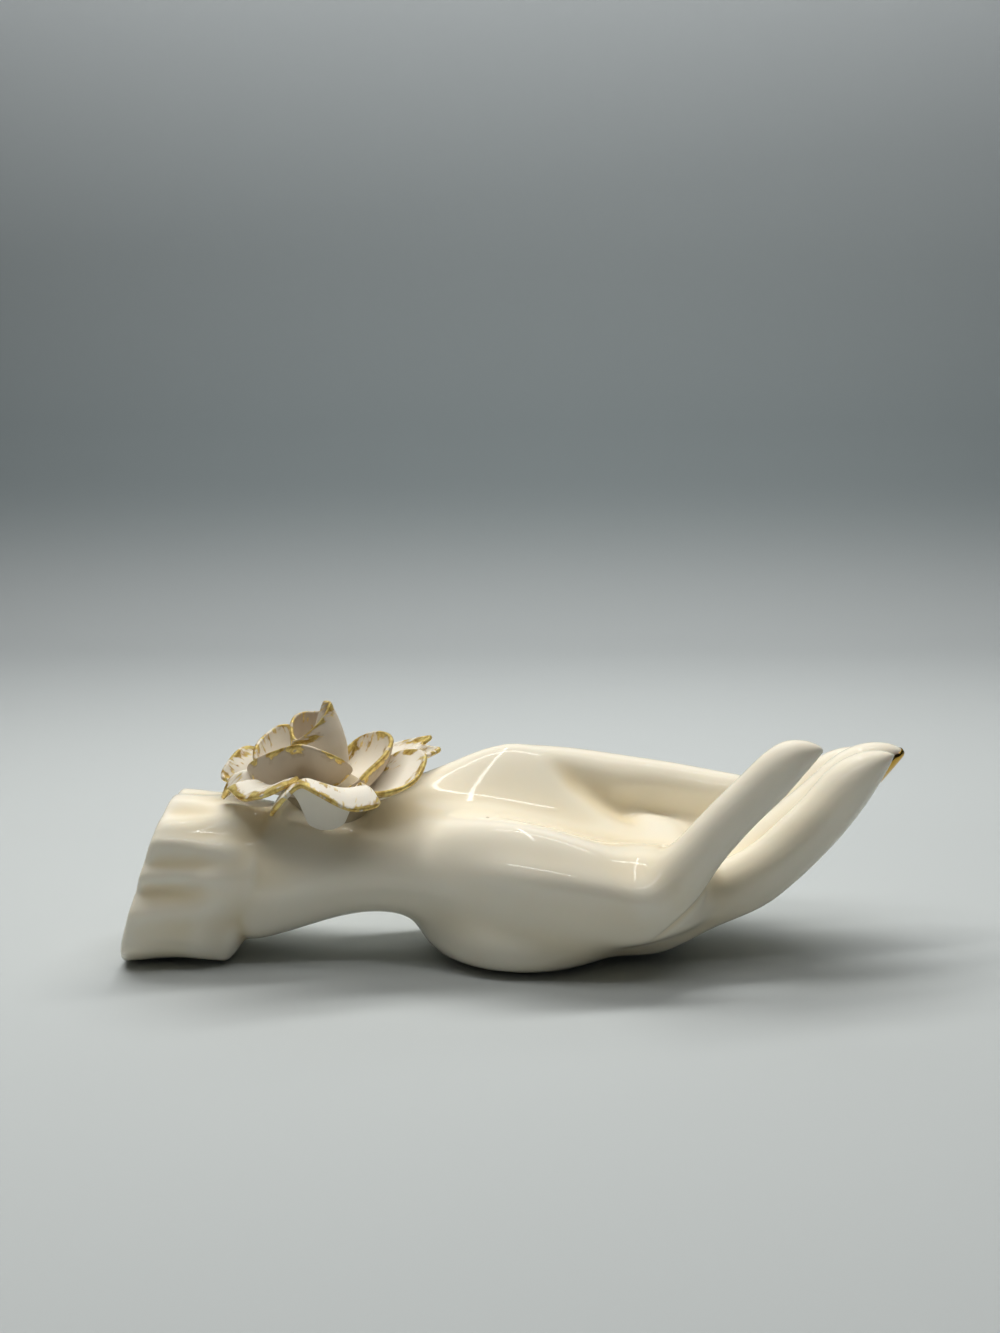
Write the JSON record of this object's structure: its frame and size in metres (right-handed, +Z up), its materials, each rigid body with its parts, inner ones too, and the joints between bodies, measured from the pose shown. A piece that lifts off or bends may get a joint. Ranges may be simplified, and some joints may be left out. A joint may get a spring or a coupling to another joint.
{
  "type": "ceramic hand dish",
  "caption": "Open hand in ivory glazed ceramic lying palm up as a small trinket dish, with a ruffled cuff, gilded nails and a gilt-edged rose on the wrist.",
  "frame": {"origin": "centre of the foot's flat face, on the table", "axes": "+X from the cuff to the fingertips, +Y from the little finger's side to the thumb's side, +Z up"},
  "size_m": [0.226, 0.0788, 0.0735],
  "materials": {
    "ivory_glaze": "glossy ivory glaze over slip-cast earthenware",
    "rose_porcelain": "semi-matte hand-built porcelain with brushed gold edges",
    "gold_lustre": "fired gold lustre over the glaze"
  },
  "bodies": {
    "root": {"palm_and_wrist": "ivory_glaze", "foot": "ivory_glaze", "ruffled_cuff": "ivory_glaze", "thumb": "ivory_glaze", "index_finger": "ivory_glaze", "middle_finger": "ivory_glaze", "ring_finger": "ivory_glaze", "little_finger": "ivory_glaze", "thumb_nail": "gold_lustre", "index_nail": "gold_lustre", "middle_nail": "gold_lustre", "ring_nail": "gold_lustre", "little_nail": "gold_lustre", "rose_receptacle": "rose_porcelain", "rose_bud": "rose_porcelain", "rose_bud_wrap": "rose_porcelain", "rose_petal_inner_left": "rose_porcelain", "rose_petal_inner_front": "rose_porcelain", "rose_petal_inner_right": "rose_porcelain", "rose_petal_outer_front": "rose_porcelain", "rose_petal_outer_front_left": "rose_porcelain", "rose_petal_outer_left": "rose_porcelain", "rose_petal_outer_back": "rose_porcelain", "rose_petal_outer_back_right": "rose_porcelain", "rose_petal_outer_right": "rose_porcelain"}
  },
  "joints": []
}
